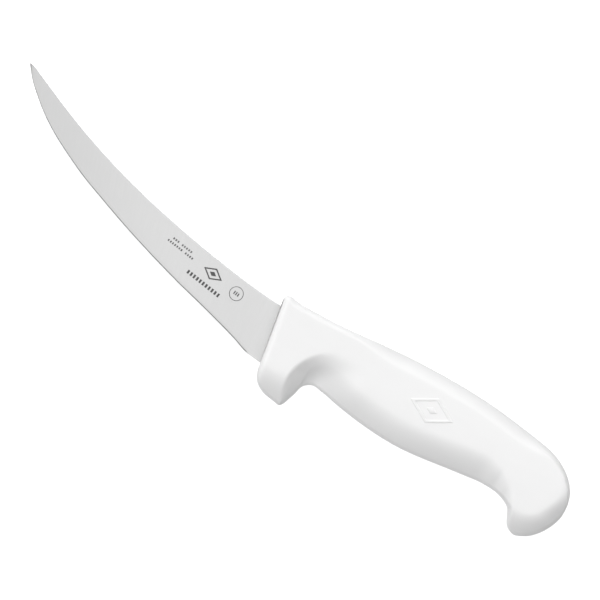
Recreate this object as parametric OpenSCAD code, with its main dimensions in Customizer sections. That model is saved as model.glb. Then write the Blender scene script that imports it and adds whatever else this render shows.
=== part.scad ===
// Curved boning knife with a moulded handle, lying on its side.
//
// The outlines are drawn in a drafting frame: the origin is on the middle plane of the knife where the
// blade leaves the handle, X runs to the butt, Y to the spine and Z out of the side. place() then moves
// the drawing to the part's own frame: its origin is under the middle of the knife, on the table.

/* [Blade] */
// Length of the blade along the handle's direction, from the tip to the handle
blade_length = 145.3; // [120:0.1:170]
// Thickness of the blade's stock, at the spine by the handle and all over the tang
stock_thickness = 2.0; // [1.5:0.1:2.5]
// Thickness of the spine at the tip
tip_thickness = 0.8; // [0.6:0.1:1.2]
// Thickness of the blade just above the sharpened bevel
shoulder_thickness = 0.4; // [0.3:0.05:0.5]
// Height of the sharpened bevel
bevel_height = 0.5; // [0.4:0.1:1.2]
// Thickness left at the cutting edge
edge_thickness = 0.05; // [0.04:0.01:0.1]

/* [Handle] */
// Width of the handle across the guard's cheeks and across the palm swell
handle_width = 20; // [19:0.5:22]
// How far each side is scooped in behind the guard
finger_depth = 8; // [6:0.1:8.4]
// Rounding of the edges of the spine and the guard's front
edge_radius = 3; // [2:0.25:3.5]
// Rounding of the edges along the belly
belly_edge_radius = 1.4; // [1:0.1:2]
// How much the palm swell's sides are crowned
crown = 0.25; // [0:0.05:0.4]
// Height of the raised emblem on the upper side
emblem_height = 0.25; // [0.15:0.05:0.5]

/* [Tang] */
// Length of the tang inside the handle
tang_length = 104; // [80:1:115]
// Height of the tang's strip behind the guard
tang_height = 13; // [10:0.5:14]
// Number of holes that lock the handle to the tang
tang_holes = 3; // [2:1:4]
// Diameter of those holes
tang_hole_d = 6; // [4:0.5:7]

/* [Quality] */
// Points across each side of the handle
across = 18; // [12:1:22]
// Longest step along the handle between two sections
along = 2.4; // [2:0.1:4]

/* [Hidden] */
$fn = 48;
half_width = handle_width / 2;
land = 0.3; // half the width of the flat strip along the moulding's parting line
scale_power = 4; // how sharply two roundings take over from each other

// Blade sections from the tip to inside the handle: spine x, spine y, edge x, edge y
blade_rows = [
    [-145.3, 49, -145.1, 48.2],
    [-143.3, 48.5, -141.6, 43.8],
    [-138, 46.2, -134, 36.8],
    [-113, 35.8, -107, 20.7],
    [-94, 29.35, -88, 13.25],
    [-50, 18.9, -46, -0.1],
    [-30, 15.65, -27, -4.95],
    [-15, 13.75, -12.5, -9.05],
    [-6, 13.05, -4.6, -11.6],
    [-2.5, 12.95, 2.3, -12.4],
    [1, 12.9, 5.2, -12.9]
];
drawn_length = -blade_rows[0][0];
heel_x = -4.6; // the sharpened bevel ends here
blade_step = 2.5;

// The same for the tang: full height inside the guard, then a strip
tang_y = 4.5;
tang_end_radius = 4;
first_hole_x = 34;
hole_margin = 20; // from the last hole to the tang's end
tang_rows = [
    [3.6, 12.9, 8.1, -13.1],
    [11, 12.9, 14, -13.1],
    [13.5, tang_y + tang_height / 2, 16, tang_y - tang_height / 2]
];

// Handle sections from the front face to the butt: x, y on the spine side, then x, y on the belly side
handle_rows = [
    [-2.8, 15.4, 2.4, -13.6],
    [-2.7, 17, 2.7, -15.4],
    [-0.2, 18.45, 5.1, -20],
    [2.2, 17.95, 7.6, -21.75],
    [10, 17.7, 15, -23.5],
    [14, 17.8, 17.9, -23.8],
    [19.6, 18, 21, -17.2],
    [22.8, 18.15, 22.6, -12],
    [24.6, 18.3, 24.6, -10.1],
    [31, 18.85, 31, -10],
    [37, 19.5, 37, -11.2],
    [66, 21.55, 66, -14.2],
    [100, 20.7, 100, -10.5],
    [108, 19.75, 108, -9.55],
    [119, 18.25, 119, -10.85],
    [123, 17.6, 122.6, -12.8],
    [129, 16.25, 127.2, -20.2],
    [132.5, 14.8, 130.6, -21.7],
    [136.5, 12.5, 135.3, -20],
    [144.6, 0.6, 144.7, -6],
    [145, -2.9, 145, -2.9]
];
guard_tip = [17.9, -23.8]; // lowest point of the guard
butt = [145, -2.9];
front_top = [-2.8, 15.4];
front_bottom = [2.4, -13.6];

// The ridge that bounds the finger scoop is part of an ellipse
ridge_center = [55, -12];
ridge_size = [40.5, 28];
scoop_width = 0.32; // share of the ellipse over which the side drops into the scoop
crest_softness = 0.07;
scoop_power = 1.6; // how soon the drop levels off
scoop_fade = [18, 45]; // x over which the scoop dies out
scoop_deepening = [9, -9]; // y over which it reaches its full depth
swell_start = [30, 60]; // x over which the crowned palm swell begins
swell_center_y = 5;
swell_half_height = 12;

// The butt is round about this point, seen from the side
pommel_center = [127.5, -3.5];
pommel_radius = 18;
butt_start = [124, 116]; // x over which that round takes over, from the butt side
butt_end = [8, 16]; // y over which it leaves off towards the spine

// How the side falls away to the belly outline: x, distance from the outline where it starts, and drop
belly_fall = [[0, 13, 6], [16, 13.5, 7], [24, 11, 6.8], [40, 12.5, 7], [60, 12, 6], [104, 13, 7],
    [112, 10.8, 6], [118, 7.5, 3.8], [124, 4, 1.2], [129, 3.5, 0.8]];
// The same round the butt, by y
butt_fall = [[-21, 10.5, 7.2], [-8, 10, 7], [8, 4, 1]];

spine_rounding = 6.5;
spine_rise = 6; // how far above the front of the handle the spine's rounding is centred
spine_settling = [15, 55]; // x over which it comes down to the spine
spine_end = [112, 142]; // x over which the butt's own rounding takes over from it
butt_edge_radius = 2.2;
emblem_center = [74.5, 6.5];

/* Shared functions */

function clamp01(t) = min(max(t, 0), 1);

function smooth(t) = let (c = clamp01(t)) c * c * (3 - 2 * c);

// A soft step from 0 to 1 as x goes from the first to the second of a pair
function ramp(x, span) = smooth((x - span[0]) / (span[1] - span[0]));

function cross2(a, b) = a.x * b.y - a.y * b.x;

// Quarter of an ellipse: 0 at the outline, 1 where the rounding ends
function quarter(t) = sqrt(1 - pow(1 - clamp01(t), 2));

function soft_max(values) = pow([for (v = values) pow(v, scale_power)] * [for (v = values) 1],
    1 / scale_power);

function step_to(rows, i) = i < len(rows) ? norm(rows[i] - rows[i - 1]) : 0;

// Distance along a list of rows, up to each one
function knots(rows) = [
    for (i = 0, s = 0; i < len(rows); s = s + step_to(rows, i + 1), i = i + 1) s
];

function chord(rows, s, i) = (rows[i + 1] - rows[i]) / (s[i + 1] - s[i]);

function tangent(rows, s, i) =
    i == 0 ? chord(rows, s, 0)
    : i == len(rows) - 1 ? chord(rows, s, i - 1)
    : let (before = s[i] - s[i - 1], after = s[i + 1] - s[i])
        (chord(rows, s, i - 1) * after + chord(rows, s, i) * before) / (before + after);

function hermite(rows, s, i, t) =
    let (h = s[i + 1] - s[i], t2 = t * t, t3 = t2 * t)
    rows[i] * (2 * t3 - 3 * t2 + 1) + tangent(rows, s, i) * h * (t3 - 2 * t2 + t)
    + rows[i + 1] * (3 * t2 - 2 * t3) + tangent(rows, s, i + 1) * h * (t3 - t2);

// Rows filled in along a smooth curve, so that no step is longer than step
function filled(rows, step) =
    let (s = knots(rows), last = len(rows) - 1)
    [
        for (i = [0:last - 1])
            let (n = ceil((s[i + 1] - s[i]) / sqrt(2) / step))
            for (k = [0:n - 1]) hermite(rows, s, i, k / n),
        rows[last]
    ];

// A column of a table by its first column, going smoothly from row to row
function table(rows, x, column, i = 0) =
    x <= rows[0].x ? rows[0][column]
    : i == len(rows) - 1 ? rows[i][column]
    : x <= rows[i + 1].x
        ? rows[i][column] + (rows[i + 1][column] - rows[i][column]) * ramp(x, [rows[i].x, rows[i + 1].x])
    : table(rows, x, column, i + 1);

// How far the side has dropped at a distance from the outline
function fall(distance, rows, x) =
    table(rows, x, 2) * pow(1 - clamp01(distance / table(rows, x, 1)), 2);

// Faces of a skin over rings of n points. A ring runs down one side and back up the other.
function skin_faces(rings, n) = [
    for (i = [0:rings - 2])
        for (j = [0:n - 1])
            let (a = i * n + j, b = i * n + (j + 1) % n)
            each [[a, a + n, b + n], [a, b + n, b]]
];

// A flat end: the near one faces back along the rings and the far one faces on
function near_cap(n) = [for (j = [0:n / 2 - 2]) [j, j + 1, n - 2 - j, n - 1 - j]];

function far_cap(first, n) = [
    for (j = [0:n / 2 - 2]) [first + n - 1 - j, first + n - 2 - j, first + j + 1, first + j]
];

/* Blade */

function stretched(x) = x < 0 ? x * blade_length / drawn_length : x;

function tang_end_rows() = [
    for (a = [0:22.5:90])
        let (
            x = tang_length - tang_end_radius * (1 - sin(a)),
            half = tang_height / 2 - tang_end_radius * (1 - cos(a))
        )
        [x, tang_y + half, x, tang_y - half]
];

// One section: spine, shoulder and edge, down one side and up the other
function blade_ring(r, spine_half, shoulder_half, edge_half) =
    let (
        spine = [r[0], r[1]],
        edge = [r[2], r[3]],
        shoulder = edge + (spine - edge) * min(bevel_height / norm(spine - edge), 0.5)
    )
    [
        [spine.x, spine.y, spine_half],
        [shoulder.x, shoulder.y, shoulder_half],
        [edge.x, edge.y, edge_half],
        [edge.x, edge.y, -edge_half],
        [shoulder.x, shoulder.y, -shoulder_half],
        [spine.x, spine.y, -spine_half]
    ];

function ground_ring(r) =
    let (
        taper = (stock_thickness - tip_thickness) * clamp01(-r[0] / drawn_length),
        spine_half = (stock_thickness - taper) / 2,
        shoulder_half = min(shoulder_thickness / 2, spine_half),
        edge_half = r[2] < heel_x ? edge_thickness / 2 : shoulder_half,
        x = [stretched(r[0]), stretched(r[2])]
    )
    blade_ring([x[0], r[1], x[1], r[3]], spine_half, shoulder_half, edge_half);

module blade_blank() {
    tang_half = stock_thickness / 2;
    rings = concat(
        [for (r = filled(blade_rows, blade_step)) ground_ring(r)],
        [for (r = concat(tang_rows, tang_end_rows())) blade_ring(r, tang_half, tang_half, tang_half)]
    );
    n = len(rings[0]);
    polyhedron(
        points = [for (r = rings) each r],
        faces = concat(near_cap(n), skin_faces(len(rings), n), far_cap((len(rings) - 1) * n, n)),
        convexity = 8
    );
}

function hole_x(i) = first_hole_x + i * (tang_length - hole_margin - first_hole_x) / (tang_holes - 1);

module blade() {
    color("#c9cacb")
    difference() {
        blade_blank();
        for (i = [0:tang_holes - 1])
            translate([hole_x(i), tang_y, -stock_thickness])
                cylinder(d = tang_hole_d, h = 2 * stock_thickness);
    }
}

/* Handle */

// The way down into the finger scoop: a soft crest at 0, steep below it, and level at 1
function scooped(t) =
    let (
        low = crest_softness,
        eased = (norm([clamp01(t), low]) - low) / (norm([1, low]) - low)
    )
    1 - pow(1 - eased, scoop_power);

// Half width between the finger scoop and the crowned palm swell
function side(p) =
    let (
        ridge = norm([(p.x - ridge_center.x) / ridge_size.x, (p.y - ridge_center.y) / ridge_size.y]),
        depth = finger_depth * (1 - ramp(p.x, scoop_fade)) * ramp(p.y, scoop_deepening),
        swell = crown * pow((p.y - swell_center_y) / swell_half_height, 2) * ramp(p.x, swell_start)
    )
    half_width - depth * scooped((1 - ridge) / scoop_width) - swell;

// Half width with the sides falling away to the outline, before the edges are rounded
function rounded_side(p, top_y, low_y) =
    let (
        rise = spine_rise * (1 - ramp(p.x, spine_settling) + ramp(p.x, spine_end)),
        above = top_y + rise - p.y,
        below = p.y - (p.x < guard_tip.x ? guard_tip.y : low_y),
        from_pommel = norm([max(p.x - pommel_center.x, 0), p.y - pommel_center.y]),
        elsewhere = ramp(p.x, butt_start) + ramp(p.y, butt_end),
        outside = pommel_radius * (1 + elsewhere) - from_pommel,
        fallen = soft_max([fall(below, belly_fall, p.x), fall(outside, butt_fall, p.y)])
    )
    side(p) * (quarter(above / spine_rounding) - fallen / half_width);

// Half width at a point of a section, where top and low are its two ends
function half_at(q, top, low, top_sine, low_sine) =
    let (
        p = top + (low - top) * q,
        length = norm(low - top),
        ending = ramp(top.x, spine_end),
        top_radius = edge_radius + (butt_edge_radius - edge_radius) * ending,
        low_radius = belly_edge_radius + (butt_edge_radius - belly_edge_radius) * ending,
        top_room = max(0, rounded_side(top, top.y, low.y) - land),
        top_cut = min(edge_radius + half_width * ending, top_room),
        low_cut = max(0, rounded_side(low, top.y, low.y) - land),
        front = cross2(front_bottom - front_top, p - front_top) / norm(front_bottom - front_top)
    )
    max(land, rounded_side(p, top.y, low.y) - soft_max([
        top_cut * (1 - quarter(q * length * top_sine / top_radius)),
        low_cut * (1 - quarter((1 - q) * length * low_sine / low_radius)),
        edge_radius * (1 - quarter(front / edge_radius))
    ]));

function sine(a, b) = abs(cross2(a, b)) / norm(a) / norm(b);

function handle_ring(rows, i) =
    let (
        r = rows[i],
        next = rows[min(i + 1, len(rows) - 1)],
        before = rows[max(i - 1, 0)],
        top = [r[0], r[1]],
        low = [r[2], r[3]],
        top_sine = sine(low - top, [next[0] - before[0], next[1] - before[1]]),
        low_sine = sine(low - top, [next[2] - before[2], next[3] - before[3]]),
        q = [for (j = [0:across]) (1 - cos(180 * j / across)) / 2],
        z = [for (t = q) half_at(t, top, low, top_sine, low_sine)]
    )
    [
        for (j = [0:across]) let (p = top + (low - top) * q[j]) [p.x, p.y, z[j]],
        for (j = [across:-1:0]) let (p = top + (low - top) * q[j]) [p.x, p.y, -z[j]]
    ];

module handle_body() {
    rows = filled(handle_rows, along);
    count = len(rows) - 1;
    rings = [for (i = [0:count - 1]) handle_ring(rows, i)];
    n = len(rings[0]);
    last = (count - 1) * n;
    polyhedron(
        points = [for (r = rings) each r, [butt.x, butt.y, 0]],
        faces = concat(
            near_cap(n),
            skin_faces(count, n),
            [for (j = [0:n - 1]) [last + j, last + n, last + (j + 1) % n]]
        ),
        convexity = 8
    );
}

// A plain lozenge in a lozenge outline, on the upper side of the palm swell
module emblem() {
    size = [21, 12];
    line = 0.75;
    sink = 1;
    translate([emblem_center.x, emblem_center.y, half_width - sink])
        linear_extrude(sink + emblem_height)
            difference() {
                lozenge(size);
                difference() {
                    lozenge(size * line);
                    lozenge(size * (1 - line));
                }
            }
}

module lozenge(size) {
    polygon([[-size.x / 2, 0], [0, size.y / 2], [size.x / 2, 0], [0, -size.y / 2]]);
}

module handle() {
    color("#f4f4f3")
    difference() {
        union() {
            handle_body();
            emblem();
        }
        blade();
    }
}

/* Placing */

module place() {
    tip = blade_rows[0];
    translate([-(stretched(tip[0]) + butt.x) / 2, -(tip[1] + guard_tip.y) / 2, half_width]) children();
}

place() blade();
place() handle();
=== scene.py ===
"""Looks of the curved boning knife: a satin steel blade in a white moulded handle, lying on its side.

The shapes are drawn in millimetres in a drafting frame: its origin is on the middle plane of the knife
where the blade leaves the handle, X runs to the butt, Y to the spine and Z out of the side. The packed
handle's box says where that frame lies.
"""
import math

import bpy
import numpy as np
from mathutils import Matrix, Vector
from mathutils.bvhtree import BVHTree


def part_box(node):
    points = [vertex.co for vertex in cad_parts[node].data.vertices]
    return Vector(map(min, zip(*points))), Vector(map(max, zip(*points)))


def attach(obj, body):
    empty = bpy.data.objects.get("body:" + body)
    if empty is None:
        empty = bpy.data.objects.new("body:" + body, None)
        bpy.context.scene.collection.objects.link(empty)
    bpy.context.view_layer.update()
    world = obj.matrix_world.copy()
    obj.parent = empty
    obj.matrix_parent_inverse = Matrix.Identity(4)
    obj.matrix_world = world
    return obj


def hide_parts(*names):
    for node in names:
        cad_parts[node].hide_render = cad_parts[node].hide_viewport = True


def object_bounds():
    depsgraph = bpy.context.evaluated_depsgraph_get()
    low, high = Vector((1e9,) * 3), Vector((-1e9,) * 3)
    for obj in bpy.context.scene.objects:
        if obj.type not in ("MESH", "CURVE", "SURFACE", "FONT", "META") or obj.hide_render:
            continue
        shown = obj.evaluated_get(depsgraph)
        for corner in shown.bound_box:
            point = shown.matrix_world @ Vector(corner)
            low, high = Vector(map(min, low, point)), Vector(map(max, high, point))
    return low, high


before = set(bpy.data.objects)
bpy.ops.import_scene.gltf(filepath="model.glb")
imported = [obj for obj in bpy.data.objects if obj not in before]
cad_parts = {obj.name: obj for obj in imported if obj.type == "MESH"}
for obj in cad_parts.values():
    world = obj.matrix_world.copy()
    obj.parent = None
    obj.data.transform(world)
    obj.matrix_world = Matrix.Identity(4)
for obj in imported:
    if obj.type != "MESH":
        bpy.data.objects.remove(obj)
cad_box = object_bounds()

MM = 0.001

# ---------------------------------------------------------------- sizes, in millimetres

HANDLE_WIDTH = 20.0
FINGER_DEPTH = 8
EDGE_RADIUS = 3.0
BELLY_EDGE_RADIUS = 1.4
BUTT_EDGE_RADIUS = 2.2
CROWN = 0.25
LAND = 0.3
PARTING_RIDGE = 0.07
SPINE_ROUNDING = 6.5
SPINE_RISE = 6.0
SPINE_SETTLING = (15, 55)
SPINE_END = (112, 142)
BLEND_POWER = 4
RIDGE_CENTER = np.array([55.0, -12.0])
RIDGE_SIZE = np.array([40.5, 28.0])
SCOOP_WIDTH = 0.32
CREST_SOFTNESS = 0.07
SCOOP_POWER = 1.6
SCOOP_FADE = (18, 45)
SCOOP_DEEPENING = (9, -9)
SWELL_START = (30, 60)
POMMEL_CENTER = np.array([127.5, -3.5])
POMMEL_RADIUS = 18.0
BUTT_START = (124, 116)
BUTT_END = (8, 16)
SWELL_CENTER_Y = 5.0
SWELL_HALF_HEIGHT = 12.0
GUARD_TIP = (17.9, -23.8)
BUTT = (145.0, -2.9)
FRONT_TOP = np.array([-2.8, 15.4])
FRONT_BOTTOM = np.array([2.4, -13.6])

# How the side falls away to the belly outline: x, distance from the outline where it starts, and drop
BELLY_FALL = [(0, 13, 6), (16, 13.5, 7), (24, 11, 6.8), (40, 12.5, 7), (60, 12, 6), (104, 13, 7),
              (112, 10.8, 6), (118, 7.5, 3.8), (124, 4, 1.2), (129, 3.5, 0.8)]
# The same round the butt, by y
BUTT_FALL = [(-21, 10.5, 7.2), (-8, 10, 7), (8, 4, 1)]

# Handle sections from the front face to the butt: x, y on the spine side, then x, y on the belly side
HANDLE_ROWS = np.array([
    (*FRONT_TOP, *FRONT_BOTTOM),
    (-2.7, 17, 2.7, -15.4),
    (-0.2, 18.45, 5.1, -20),
    (2.2, 17.95, 7.6, -21.75),
    (10, 17.7, 15, -23.5),
    (14, 17.8, *GUARD_TIP),
    (19.6, 18, 21, -17.2),
    (22.8, 18.15, 22.6, -12),
    (24.6, 18.3, 24.6, -10.1),
    (31, 18.85, 31, -10),
    (37, 19.5, 37, -11.2),
    (66, 21.55, 66, -14.2),
    (100, 20.7, 100, -10.5),
    (108, 19.75, 108, -9.55),
    (119, 18.25, 119, -10.85),
    (123, 17.6, 122.6, -12.8),
    (129, 16.25, 127.2, -20.2),
    (132.5, 14.8, 130.6, -21.7),
    (136.5, 12.5, 135.3, -20),
    (144.6, 0.6, 144.7, -6),
    (*BUTT, *BUTT),
], dtype=float)

STOCK_THICKNESS = 2.0
TIP_THICKNESS = 0.8
SHOULDER_THICKNESS = 0.4
BEVEL_HEIGHT = 0.5
EDGE_THICKNESS = 0.05
SPINE_EDGE_RADIUS = 0.15
HEEL_X = -4.6

# Blade sections from the tip to inside the handle: spine x, spine y, edge x, edge y
BLADE_ROWS = np.array([
    (-145.3, 49, -145.1, 48.2),
    (-143.3, 48.5, -141.6, 43.8),
    (-138, 46.2, -134, 36.8),
    (-113, 35.8, -107, 20.7),
    (-94, 29.35, -88, 13.25),
    (-50, 18.9, -46, -0.1),
    (-30, 15.65, -27, -4.95),
    (-15, 13.75, -12.5, -9.05),
    (-6, 13.05, HEEL_X, -11.6),
    (-2.5, 12.95, 2.3, -12.4),
    (1, 12.9, 5.2, -12.9),
], dtype=float)

# The same for the tang: full height inside the guard, then a strip with rounded corners at its end
TANG_Y = 4.5
TANG_HALF_HEIGHT = 6.5
TANG_LENGTH = 104.0
TANG_END_RADIUS = 4.0
TANG_ROWS = [
    (3.6, 12.9, 8.1, -13.1),
    (11, 12.9, 14, -13.1),
    (13.5, TANG_Y + TANG_HALF_HEIGHT, 16, TANG_Y - TANG_HALF_HEIGHT),
]

HOLE_CENTERS = [(34, TANG_Y), (59, TANG_Y), (84, TANG_Y)]
HOLE_DIAMETER = 6.0

# The longest steps between sections of the fine meshes, and the angle in degrees that stays a sharp edge
HANDLE_STEP = 0.6
BLADE_STEP = 0.8
CREASE = 50

EMBLEM_CENTER = (74.5, 6.5)
EMBLEM_SIZE = (21.0, 12.0)
EMBLEM_HEIGHT = 0.25

LOZENGE_CENTER = (-33.9, 10.2)
BADGE_CENTER = (-21.2, 7.9)
MARK_TURN = -8.5
MARK_HEIGHT = 0.012

handle_low, handle_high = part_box("handle")
ORIGIN = Vector((handle_high.x - BUTT[0] * MM, handle_low.y - GUARD_TIP[1] * MM,
                 handle_low.z + HANDLE_WIDTH / 2 * MM))


def placed(point):
    """A drafting-frame point in millimetres, in the part's frame in metres."""
    return ORIGIN + Vector(point) * MM


# ---------------------------------------------------------------- curves and blends

def ramp(x, span):
    """A soft step from 0 to 1 as x goes from the first to the second of a pair."""
    t = np.clip((x - span[0]) / (span[1] - span[0]), 0, 1)
    return t * t * (3 - 2 * t)


def quarter(t):
    """A quarter of an ellipse: 0 at the outline, 1 where the rounding ends."""
    return np.sqrt(1 - (1 - np.clip(t, 0, 1)) ** 2)


def scooped(t):
    """The way down into the finger scoop: a soft crest at 0, steep below it, and level at 1."""
    t = np.clip(t, 0, 1)
    low = CREST_SOFTNESS
    eased = (np.sqrt(t**2 + low**2) - low) / (math.hypot(1, low) - low)
    return 1 - (1 - eased) ** SCOOP_POWER


def soft_max(*values):
    """A little more than the largest of some values, with no crease where another one takes over."""
    return sum(v ** BLEND_POWER for v in values) ** (1 / BLEND_POWER)


def cross2(a, b):
    """The cross product of two plane vectors."""
    return a[..., 0] * b[..., 1] - a[..., 1] * b[..., 0]


def from_table(rows, x, column):
    """A table's column at x, with soft steps from each row to the next."""
    out = rows[0][column]
    for before, after in zip(rows, rows[1:]):
        out = out + (after[column] - before[column]) * ramp(x, (before[0], after[0]))
    return out


def fall(distance, rows, x):
    """How far the side has dropped at a distance from the outline."""
    start, drop = from_table(rows, x, 1), from_table(rows, x, 2)
    return drop * (1 - np.clip(distance / start, 0, 1)) ** 2


def filled(rows, step):
    """Rows filled in along a smooth curve, so that no step is longer than step."""
    lengths = np.linalg.norm(np.diff(rows, axis=0), axis=1)
    chords = np.diff(rows, axis=0) / lengths[:, None]
    before, after = lengths[:-1, None], lengths[1:, None]
    inner = (chords[:-1] * after + chords[1:] * before) / (before + after)
    tangents = np.vstack([chords[:1], inner, chords[-1:]])
    out = []
    for i, length in enumerate(lengths):
        count = math.ceil(length / math.sqrt(2) / step)
        for k in range(count):
            t = k / count
            out.append(rows[i] * (2 * t**3 - 3 * t**2 + 1)
                       + tangents[i] * length * (t**3 - 2 * t**2 + t)
                       + rows[i + 1] * (3 * t**2 - 2 * t**3)
                       + tangents[i + 1] * length * (t**3 - t**2))
    out.append(rows[-1])
    return np.array(out)


# ---------------------------------------------------------------- mesh helpers

def make_object(name, verts, faces, smooth=True, uv=None):
    """A mesh object in the scene, with a "grain" UV layer when uv gives a place for each vertex."""
    mesh = bpy.data.meshes.new(name)
    mesh.from_pydata(verts, [], faces)
    if uv is not None:
        layer = mesh.uv_layers.new(name="grain")
        corners = np.zeros(len(mesh.loops), dtype=int)
        mesh.loops.foreach_get("vertex_index", corners)
        layer.data.foreach_set("uv", np.array(uv, dtype=np.float32)[corners].ravel())
    mesh.validate()
    mesh.update()
    obj = bpy.data.objects.new(name, mesh)
    bpy.context.scene.collection.objects.link(obj)
    if smooth:
        mesh.shade_smooth()
    return obj


def ring_faces(rings, n, closed=False):
    """Faces between rings of n points each. A closed set of rings joins its last ring to its first."""
    faces = []
    for i in range(rings - 1):
        for j in range(n):
            a, b = i * n + j, i * n + (j + 1) % n
            faces.append((a, b, b + n, a + n))
    if closed:
        last = (rings - 1) * n
        faces += [(last + j, last + (j + 1) % n, (j + 1) % n, j) for j in range(n)]
    return faces


# ---------------------------------------------------------------- handle

def half_width_at(points, top_y, low_y):
    """Half width of the handle at points of its middle plane, before its edges are rounded."""
    x, y = points[..., 0], points[..., 1]
    ridge = np.linalg.norm((points - RIDGE_CENTER) / RIDGE_SIZE, axis=-1)
    depth = FINGER_DEPTH * (1 - ramp(x, SCOOP_FADE)) * ramp(y, SCOOP_DEEPENING)
    crown = CROWN * ((y - SWELL_CENTER_Y) / SWELL_HALF_HEIGHT) ** 2 * ramp(x, SWELL_START)
    side = HANDLE_WIDTH / 2 - depth * scooped((1 - ridge) / SCOOP_WIDTH) - crown
    above = top_y + SPINE_RISE * (1 - ramp(x, SPINE_SETTLING) + ramp(x, SPINE_END)) - y
    below = y - np.where(x < GUARD_TIP[0], GUARD_TIP[1], low_y)
    from_pommel = np.hypot(np.maximum(x - POMMEL_CENTER[0], 0), y - POMMEL_CENTER[1])
    elsewhere = ramp(x, BUTT_START) + ramp(y, BUTT_END)
    outside = POMMEL_RADIUS * (1 + elsewhere) - from_pommel
    fallen = soft_max(fall(below, BELLY_FALL, x), fall(outside, BUTT_FALL, y))
    return side * (quarter(above / SPINE_ROUNDING) - fallen / (HANDLE_WIDTH / 2))


def handle_half(rows, across):
    """Points and half widths of every handle section: arrays of sections by points."""
    top, low = rows[:, :2], rows[:, 2:]
    q = (1 - np.cos(np.linspace(0, math.pi, across + 1))) / 2
    points = top[:, None] + (low - top)[:, None] * q[None, :, None]
    length = np.linalg.norm(low - top, axis=1)[:, None]
    top_y, low_y = top[:, 1:2], low[:, 1:2]
    plain = half_width_at(points, top_y, low_y)

    def sine(a, b):
        return np.abs(cross2(a, b)) / np.linalg.norm(a, axis=1) / np.linalg.norm(b, axis=1)

    step = np.vstack([rows[1:], rows[-1:]]) - np.vstack([rows[:1], rows[:-1]])
    top_sine = sine(low - top, step[:, :2])[:, None]
    low_sine = sine(low - top, step[:, 2:])[:, None]
    top_half = half_width_at(top, top[:, 1], low[:, 1])[:, None]
    low_half = half_width_at(low, top[:, 1], low[:, 1])[:, None]
    along = FRONT_BOTTOM - FRONT_TOP
    front = cross2(along, points - FRONT_TOP) / np.linalg.norm(along)
    ending = ramp(top[:, :1], SPINE_END)
    top_radius = EDGE_RADIUS + (BUTT_EDGE_RADIUS - EDGE_RADIUS) * ending
    low_radius = BELLY_EDGE_RADIUS + (BUTT_EDGE_RADIUS - BELLY_EDGE_RADIUS) * ending
    top_cut = np.minimum(EDGE_RADIUS + HANDLE_WIDTH / 2 * ending, np.maximum(0, top_half - LAND))
    low_cut = np.maximum(0, low_half - LAND)
    cut = soft_max(
        top_cut * (1 - quarter(q * length * top_sine / top_radius)),
        low_cut * (1 - quarter((1 - q) * length * low_sine / low_radius)),
        EDGE_RADIUS * (1 - quarter(front / EDGE_RADIUS)),
    )
    return points, np.maximum(LAND, plain - cut)


def build_handle():
    """The moulding, solid all through until the blade is cut out of it."""
    across = 72
    rows = filled(HANDLE_ROWS, HANDLE_STEP)[:-1]
    points, half = handle_half(rows, across)
    verts, uv = [], []
    for section, widths in zip(points, half):
        out = (section[0] - section[-1]) / np.linalg.norm(section[0] - section[-1]) * PARTING_RIDGE
        upper = [(p[0], p[1], w) for p, w in zip(section, widths)]
        lower = [(p[0], p[1], -w) for p, w in zip(section[::-1], widths[::-1])]
        low_ridge = (*(section[-1] - out), 0)
        top_ridge = (*(section[0] + out), 0)
        ring = [*upper, low_ridge, *lower, top_ridge]
        verts += [placed(v) for v in ring]
        uv += [(x, y) for x, y, z in ring]
    n = 2 * (across + 1) + 2
    faces = ring_faces(len(rows), n)
    faces.append(tuple(range(n))[::-1])
    butt = len(verts)
    verts.append(placed((BUTT[0], BUTT[1], 0)))
    uv.append(BUTT)
    last = (len(rows) - 1) * n
    faces += [(last + j, last + (j + 1) % n, butt) for j in range(n)]
    return make_object("handle_moulding", verts, faces, uv=uv)


# ---------------------------------------------------------------- blade

def blade_section(row):
    """Half of a blade section, from the middle of the spine to the middle of the edge: (share of the
    height, half thickness) pairs."""
    taper = min(max(row[0] / BLADE_ROWS[0][0], 0), 1)
    spine_half = (STOCK_THICKNESS + (TIP_THICKNESS - STOCK_THICKNESS) * taper) / 2
    shoulder_half = min(SHOULDER_THICKNESS / 2, spine_half)
    edge_half = EDGE_THICKNESS / 2 if row[2] < HEEL_X else shoulder_half
    height = np.linalg.norm(row[:2] - row[2:])
    radius = min(SPINE_EDGE_RADIUS, height / 8)
    shoulder = 1 - min(BEVEL_HEIGHT / height, 0.5)
    half = [(0, 0), (0, spine_half - radius)]
    for k in range(1, 4):
        angle = k * math.pi / 6
        half.append((radius * (1 - math.cos(angle)) / height, spine_half - radius * (1 - math.sin(angle))))
    start, start_half = half[-1]
    for t in (0.012, *np.linspace(0, 1, 13)[1:-1], 0.988, 1):
        half.append((start + (shoulder - start) * t, start_half + (shoulder_half - start_half) * t))
    for t in (0.1, 0.5, 0.9):
        half.append((shoulder + (1 - shoulder) * t, shoulder_half + (edge_half - shoulder_half) * t))
    half.append((1, edge_half))
    half.append((1, 0))
    return half


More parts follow.
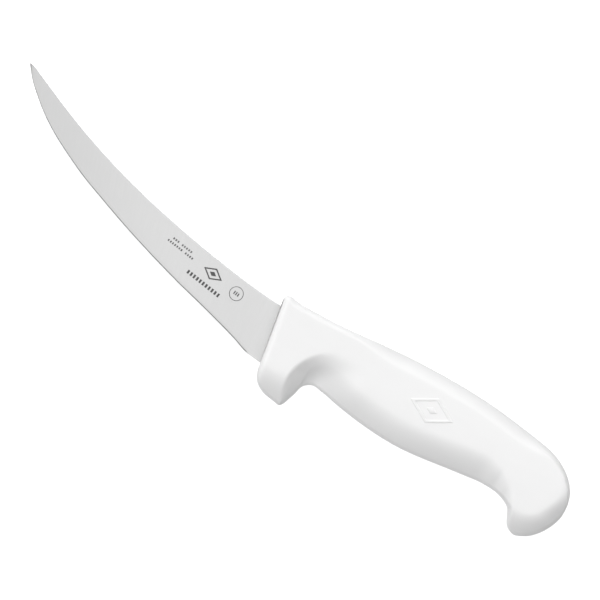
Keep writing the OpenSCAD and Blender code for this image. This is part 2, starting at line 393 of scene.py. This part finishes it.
def build_blade():
    """The whole blank: the ground blade, and the tang inside the handle, which is full thickness."""
    angles = np.radians(np.arange(0, 91, 15))
    end = [(TANG_LENGTH - TANG_END_RADIUS * (1 - math.sin(a)),
            TANG_HALF_HEIGHT - TANG_END_RADIUS * (1 - math.cos(a))) for a in angles]
    tang = np.array(TANG_ROWS + [(x, TANG_Y + half, x, TANG_Y - half) for x, half in end])
    ground = filled(BLADE_ROWS, BLADE_STEP)
    verts, uv = [], []
    along = 0
    before = (ground[0][:2] + ground[0][2:]) / 2
    for i, row in enumerate([*ground, *tang]):
        half = blade_section(row)
        if i >= len(ground):
            half = [(t, 0 if z == 0 else STOCK_THICKNESS / 2) for t, z in half]
        spine, edge = row[:2], row[2:]
        upper = [(*(spine + (edge - spine) * t), z) for t, z in half]
        lower = [(x, y, -z) for x, y, z in upper[-2:0:-1]]
        verts += [placed(v) for v in upper + lower]
        middle = (spine + edge) / 2
        along += np.linalg.norm(middle - before)
        before = middle
        height = np.linalg.norm(edge - spine)
        across = [t * height for t, z in half]
        uv += [(along, v) for v in across + across[-2:0:-1]]
    rings = len(ground) + len(tang)
    n = len(verts) // rings
    faces = ring_faces(rings, n)
    faces.append(tuple(range(n))[::-1])
    faces.append(tuple(len(verts) - n + j for j in range(n)))
    return make_object("blade_steel", verts, faces, uv=uv)


# ---------------------------------------------------------------- raised and etched marks

def tree_of(obj):
    mesh = obj.data
    return BVHTree.FromPolygons([v.co for v in mesh.vertices], [p.vertices[:] for p in mesh.polygons])


def on_surface(tree, x, y, height):
    """The point at that height over the upper side of a piece."""
    hit = tree.ray_cast(placed((x, y, HANDLE_WIDTH)), Vector((0, 0, -1)))[0]
    return hit + Vector((0, 0, height * MM))


def lozenge(width, height, per_side=12):
    corners = [(-width / 2, 0), (0, height / 2), (width / 2, 0), (0, -height / 2)]
    out = []
    for (x0, y0), (x1, y1) in zip(corners, corners[1:] + corners[:1]):
        for t in np.linspace(0.02, 0.98, per_side):
            out.append((x0 + (x1 - x0) * t, y0 + (y1 - y0) * t))
    return out


def circle(radius, count=48):
    return [(-radius * math.cos(a), radius * math.sin(a)) for a in np.arange(count) * 2 * math.pi / count]


def bar(width, height):
    x, y = width / 2, height / 2
    return [(-x, -y), (-x, y), (x, y), (x, -y)]


class Marks:
    """Small shapes lying on one piece, gathered into one mesh. Each shape is a closed solid."""

    def __init__(self, piece):
        self.tree = tree_of(piece)
        self.verts = []
        self.faces = []

    def add(self, outline, center, turn, profile, ring):
        """profile is a list of (scale, height) from the foot upwards. A ring comes back down inside."""
        first, n = len(self.verts), len(outline)
        c, s = math.cos(math.radians(turn)), math.sin(math.radians(turn))
        for scale, height in profile:
            for x, y in outline:
                px, py = center[0] + scale * (x * c - y * s), center[1] + scale * (x * s + y * c)
                self.verts.append(on_surface(self.tree, px, py, height))
        faces = ring_faces(len(profile), n, closed=ring)
        if not ring:
            faces += [tuple(range(n))[::-1], tuple((len(profile) - 1) * n + j for j in range(n))]
        self.faces += [tuple(first + k for k in face) for face in faces]

    def finish(self, name, smooth=False):
        return make_object(name, self.verts, self.faces, smooth=smooth)


def build_emblem(piece):
    """A lozenge round a small lozenge, raised, with soft edges."""
    marks = Marks(piece)
    shape = lozenge(*EMBLEM_SIZE)
    top, foot = EMBLEM_HEIGHT, -0.2
    marks.add(shape, EMBLEM_CENTER, 0, [(1, foot), (0.99, 0.1), (0.975, 0.2), (0.95, top), (0.8, top),
                                        (0.775, 0.2), (0.76, 0.1), (0.75, foot)], ring=True)
    marks.add(shape, EMBLEM_CENTER, 0, [(0.25, foot), (0.24, 0.1), (0.225, 0.2), (0.2, top)], ring=False)
    return marks.finish("handle_emblem", smooth=True)


def build_blade_marks(piece):
    """Etched marks on the blade: rows of fine strokes, a lozenge and a badge."""
    marks = Marks(piece)
    foot, top = -2 * MARK_HEIGHT, MARK_HEIGHT
    ux = np.array([math.cos(math.radians(MARK_TURN)), math.sin(math.radians(MARK_TURN))])
    solid = [(1, foot), (1, top)]

    def outlined(outline, center, inside):
        marks.add(outline, center, MARK_TURN, [(1, foot), (1, top), (inside, top), (inside, foot)], ring=True)

    def strokes(start, pitch, width, height, count, gap=None):
        for k in range(count):
            if k != gap:
                center = np.array(start) + ux * pitch * k
                marks.add(bar(width, height), center, MARK_TURN, solid, ring=False)

    strokes((-55.6, 15.0), 1.15, 0.6, 0.9, 9, gap=3)
    strokes((-57.3, 13.3), 1.15, 0.6, 0.9, 12, gap=7)
    strokes((-43.4, 5.8), 1.6, 0.9, 1.7, 11)
    outlined(lozenge(9.6, 5.6), LOZENGE_CENTER, 0.76)
    marks.add(lozenge(3.4, 2), LOZENGE_CENTER, MARK_TURN, solid, ring=False)
    outlined(circle(3.1), BADGE_CENTER, 0.91)
    strokes((-22.15, 8.04), 0.95, 0.5, 1.5, 3)
    return marks.finish("blade_marks")


# ---------------------------------------------------------------- holes and pocket

def build_pins(centers, diameter, height, segments=48):
    """Round bars through the tang, which the moulded plastic fills."""
    verts, faces = [], []
    for x, y in centers:
        first = len(verts)
        angles = np.arange(segments) * 2 * math.pi / segments
        ring = [(x + math.cos(a) * diameter / 2, y + math.sin(a) * diameter / 2) for a in angles]
        verts += [placed((px, py, z)) for z in (-height / 2, height / 2) for px, py in ring]
        faces += [tuple(first + k for k in face) for face in ring_faces(2, segments)]
        faces.append(tuple(first + j for j in range(segments))[::-1])
        faces.append(tuple(first + segments + j for j in range(segments)))
    return make_object("tang_pins", verts, faces)


def cut(piece, tool):
    """Takes the tool's volume out of a piece, for good."""
    modifier = piece.modifiers.new("cut", "BOOLEAN")
    modifier.operation = "DIFFERENCE"
    modifier.solver = "EXACT"
    modifier.object = tool
    bpy.context.view_layer.update()
    evaluated = piece.evaluated_get(bpy.context.evaluated_depsgraph_get())
    result = bpy.data.meshes.new_from_object(evaluated)
    piece.modifiers.clear()
    old = piece.data
    piece.data = result
    bpy.data.meshes.remove(old)
    result.shade_smooth()
    result.set_sharp_from_angle(angle=math.radians(CREASE))


# ---------------------------------------------------------------- materials

def new_material(name):
    material = bpy.data.materials.new(name)
    material.use_nodes = True
    tree = material.node_tree
    return material, tree.nodes, tree.links, tree.nodes["Principled BSDF"]


def position(nodes, links, scale):
    """The place on the piece, times a scale per axis."""
    coordinates = nodes.new("ShaderNodeTexCoord")
    scaled = nodes.new("ShaderNodeVectorMath")
    scaled.operation = "MULTIPLY"
    scaled.inputs[1].default_value = scale
    links.new(coordinates.outputs["Object"], scaled.inputs[0])
    return scaled.outputs["Vector"]


def grain_position(nodes, links, scale):
    """The place along and across the blade in millimetres, times a scale per axis."""
    grain = nodes.new("ShaderNodeUVMap")
    grain.uv_map = "grain"
    scaled = nodes.new("ShaderNodeVectorMath")
    scaled.operation = "MULTIPLY"
    scaled.inputs[1].default_value = (*scale, 1)
    links.new(grain.outputs["UV"], scaled.inputs[0])
    return scaled.outputs["Vector"]


def noise(nodes, links, vector, detail=2):
    texture = nodes.new("ShaderNodeTexNoise")
    texture.inputs["Scale"].default_value = 1
    texture.inputs["Detail"].default_value = detail
    links.new(vector, texture.inputs["Vector"])
    return texture.outputs["Fac"]


def spread(nodes, links, value, low, high):
    """A noise value stretched to a range."""
    mapped = nodes.new("ShaderNodeMapRange")
    mapped.inputs["From Min"].default_value = 0.3
    mapped.inputs["From Max"].default_value = 0.7
    mapped.inputs["To Min"].default_value = low
    mapped.inputs["To Max"].default_value = high
    links.new(value, mapped.inputs["Value"])
    return mapped.outputs["Result"]


def product(nodes, links, a, b):
    times = nodes.new("ShaderNodeMath")
    times.operation = "MULTIPLY"
    links.new(a, times.inputs[0])
    links.new(b, times.inputs[1])
    return times.outputs["Value"]


def grey(nodes, links, level, shader):
    combined = nodes.new("ShaderNodeCombineColor")
    for name in ("Red", "Green", "Blue"):
        links.new(level, combined.inputs[name])
    links.new(combined.outputs["Color"], shader.inputs["Base Color"])


def bump(nodes, links, height, distance, strength, shader):
    relief = nodes.new("ShaderNodeBump")
    relief.inputs["Distance"].default_value = distance
    relief.inputs["Strength"].default_value = strength
    links.new(height, relief.inputs["Height"])
    links.new(relief.outputs["Normal"], shader.inputs["Normal"])


def plastic_material():
    """White polypropylene with the mould's fine spark-eroded texture and faint flow marks."""
    material, nodes, links, shader = new_material("white_polypropylene")
    flow = noise(nodes, links, position(nodes, links, (60, 180, 180)), detail=3)
    patches = noise(nodes, links, position(nodes, links, (700, 700, 700)))
    texture = noise(nodes, links, position(nodes, links, (3200, 3200, 3200)), detail=3)
    grey(nodes, links, spread(nodes, links, flow, 0.865, 0.875), shader)
    links.new(spread(nodes, links, patches, 0.39, 0.45), shader.inputs["Roughness"])
    bump(nodes, links, texture, 0.00004, 0.35, shader)
    return material


def steel_material():
    """Satin stainless steel, ground across the blade, with painted shade: its colour is a little darker
    towards the thin tip.
    """
    material, nodes, links, shader = new_material("satin_steel")
    fine = noise(nodes, links, grain_position(nodes, links, (9, 0.35)), detail=3)
    broad = noise(nodes, links, grain_position(nodes, links, (0.9, 0.08)))
    # Painted shade: the base colour darkens along the blade, to 0.42 near the tip from 0.485 at 110 mm or
    # more back from it.
    taper = nodes.new("ShaderNodeMapRange")
    taper.interpolation_type = "SMOOTHSTEP"
    taper.inputs["From Min"].default_value = 15
    taper.inputs["From Max"].default_value = 110
    taper.inputs["To Min"].default_value = 0.42
    taper.inputs["To Max"].default_value = 0.485
    split = nodes.new("ShaderNodeSeparateXYZ")
    links.new(grain_position(nodes, links, (1, 1)), split.inputs["Vector"])
    links.new(split.outputs["X"], taper.inputs["Value"])
    shade = product(nodes, links, taper.outputs["Result"], spread(nodes, links, fine, 0.975, 1.025))
    grey(nodes, links, product(nodes, links, shade, spread(nodes, links, broad, 0.99, 1.01)), shader)
    shader.inputs["Metallic"].default_value = 1
    links.new(spread(nodes, links, fine, 0.36, 0.44), shader.inputs["Roughness"])
    bump(nodes, links, fine, 0.00001, 0.25, shader)
    return material


def etched_material():
    """The dull dark oxide that electrolytic marking leaves."""
    material, nodes, links, shader = new_material("etched_oxide")
    speckle = noise(nodes, links, position(nodes, links, (9000, 9000, 9000)), detail=3)
    grey(nodes, links, spread(nodes, links, speckle, 0.04, 0.12), shader)
    links.new(spread(nodes, links, speckle, 0.5, 0.7), shader.inputs["Roughness"])
    return material


# ---------------------------------------------------------------- the knife

handle = build_handle()
blade = build_blade()
pins = build_pins(HOLE_CENTERS, HOLE_DIAMETER, 2 * STOCK_THICKNESS)
cut(blade, pins)
cut(handle, blade)
bpy.data.objects.remove(pins)
emblem = build_emblem(handle)
marks = build_blade_marks(blade)

plastic = plastic_material()
for piece in (handle, emblem):
    piece.data.materials.clear()
    piece.data.materials.append(plastic)
    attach(piece, "root")
    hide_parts("handle")

blade.data.materials.clear()
blade.data.materials.append(steel_material())
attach(blade, "root")
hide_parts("blade")

marks.data.materials.append(etched_material())
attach(marks, "root")


# ---------------------------------------------------------------- floor, light and camera

VIEW_TURN = 30


def build_floor():
    """A white sweep: a flat disc that curves up all round into a low wall."""
    flat, bend, wall = 1.6, 0.8, 2.4
    profile = [(flat * k / 4, 0) for k in range(1, 5)]
    profile += [(flat + bend * math.sin(a), bend * (1 - math.cos(a)))
                for a in np.radians(np.arange(10, 91, 10))]
    profile.append((flat + bend, wall))
    segments = 96
    base = cad_box[0].z
    verts = [Vector((r * math.cos(a), r * math.sin(a), base + h))
             for r, h in profile for a in np.arange(segments) * 2 * math.pi / segments]
    faces = [face[::-1] for face in ring_faces(len(profile), segments)]
    faces.append(tuple(range(segments)))
    floor = make_object("floor", verts, faces)
    material, nodes, links, shader = new_material("white_sweep")
    shader.inputs["Base Color"].default_value = (0.9, 0.9, 0.9, 1)
    shader.inputs["Roughness"].default_value = 0.9
    shader.inputs["Emission Color"].default_value = (1, 1, 1, 1)
    shader.inputs["Emission Strength"].default_value = 0.55
    floor.data.materials.append(material)
    floor.visible_diffuse = False
    floor.visible_glossy = False


def heading(azimuth, elevation):
    """The direction at an angle from +X towards +Y, and at an angle above the floor."""
    a, e = math.radians(azimuth), math.radians(elevation)
    return math.cos(a) * math.cos(e), math.sin(a) * math.cos(e), math.sin(e)


def direction_level(nodes, links, direction, axis, low, high, values):
    """A soft step in light level with the direction's share along an axis."""
    along = nodes.new("ShaderNodeVectorMath")
    along.operation = "DOT_PRODUCT"
    along.inputs[1].default_value = Vector(axis).normalized()
    links.new(direction, along.inputs[0])
    level = nodes.new("ShaderNodeMapRange")
    level.interpolation_type = "SMOOTHSTEP"
    level.inputs["From Min"].default_value = low
    level.inputs["From Max"].default_value = high
    level.inputs["To Min"].default_value = values[0]
    level.inputs["To Max"].default_value = values[1]
    links.new(along.outputs["Value"], level.inputs["Value"])
    return level.outputs["Result"]


def light_dome():
    """A soft dome: a softbox high up towards the top of the picture, and a fill that is bright at its
    left and dim at its right."""
    world = bpy.data.worlds.new("studio_dome")
    world.use_nodes = True
    bpy.context.scene.world = world
    nodes, links = world.node_tree.nodes, world.node_tree.links
    direction = nodes.new("ShaderNodeTexCoord").outputs["Generated"]
    fill = direction_level(nodes, links, direction, heading(212, 0), -0.6, 0.9, (0.015, 0.62))
    softbox = direction_level(nodes, links, direction, heading(116, 61), 0.64, 0.80, (0, 1))
    sky = nodes.new("ShaderNodeMix")
    links.new(softbox, sky.inputs["Factor"])
    links.new(fill, sky.inputs["A"])
    sky.inputs["B"].default_value = 2.1
    above = direction_level(nodes, links, direction, (0, 0, 1), -0.08, 0.08, (0, 1))
    level = nodes.new("ShaderNodeMix")
    links.new(above, level.inputs["Factor"])
    level.inputs["A"].default_value = 0.84
    links.new(sky.outputs["Result"], level.inputs["B"])
    links.new(level.outputs["Result"], nodes["Background"].inputs["Strength"])
    nodes["Background"].inputs["Color"].default_value = (1, 1, 1, 1)


def place_camera():
    """Straight above the knife, turned so that it lies from the upper left to the lower right."""
    distance = 1.6
    width_seen = 0.2535
    aim = placed((3.4, 19.05, 0))
    camera = bpy.data.objects.new("camera", bpy.data.cameras.new("camera"))
    bpy.context.scene.collection.objects.link(camera)
    camera.data.sensor_width = 36
    camera.data.lens = camera.data.sensor_width * distance / width_seen
    camera.data.clip_end = 20
    camera.location = aim + Vector((0, 0, distance))
    camera.rotation_euler = (0, 0, math.radians(VIEW_TURN))
    bpy.context.scene.camera = camera


build_floor()
light_dome()
place_camera()
bpy.context.scene.view_settings.view_transform = "Standard"
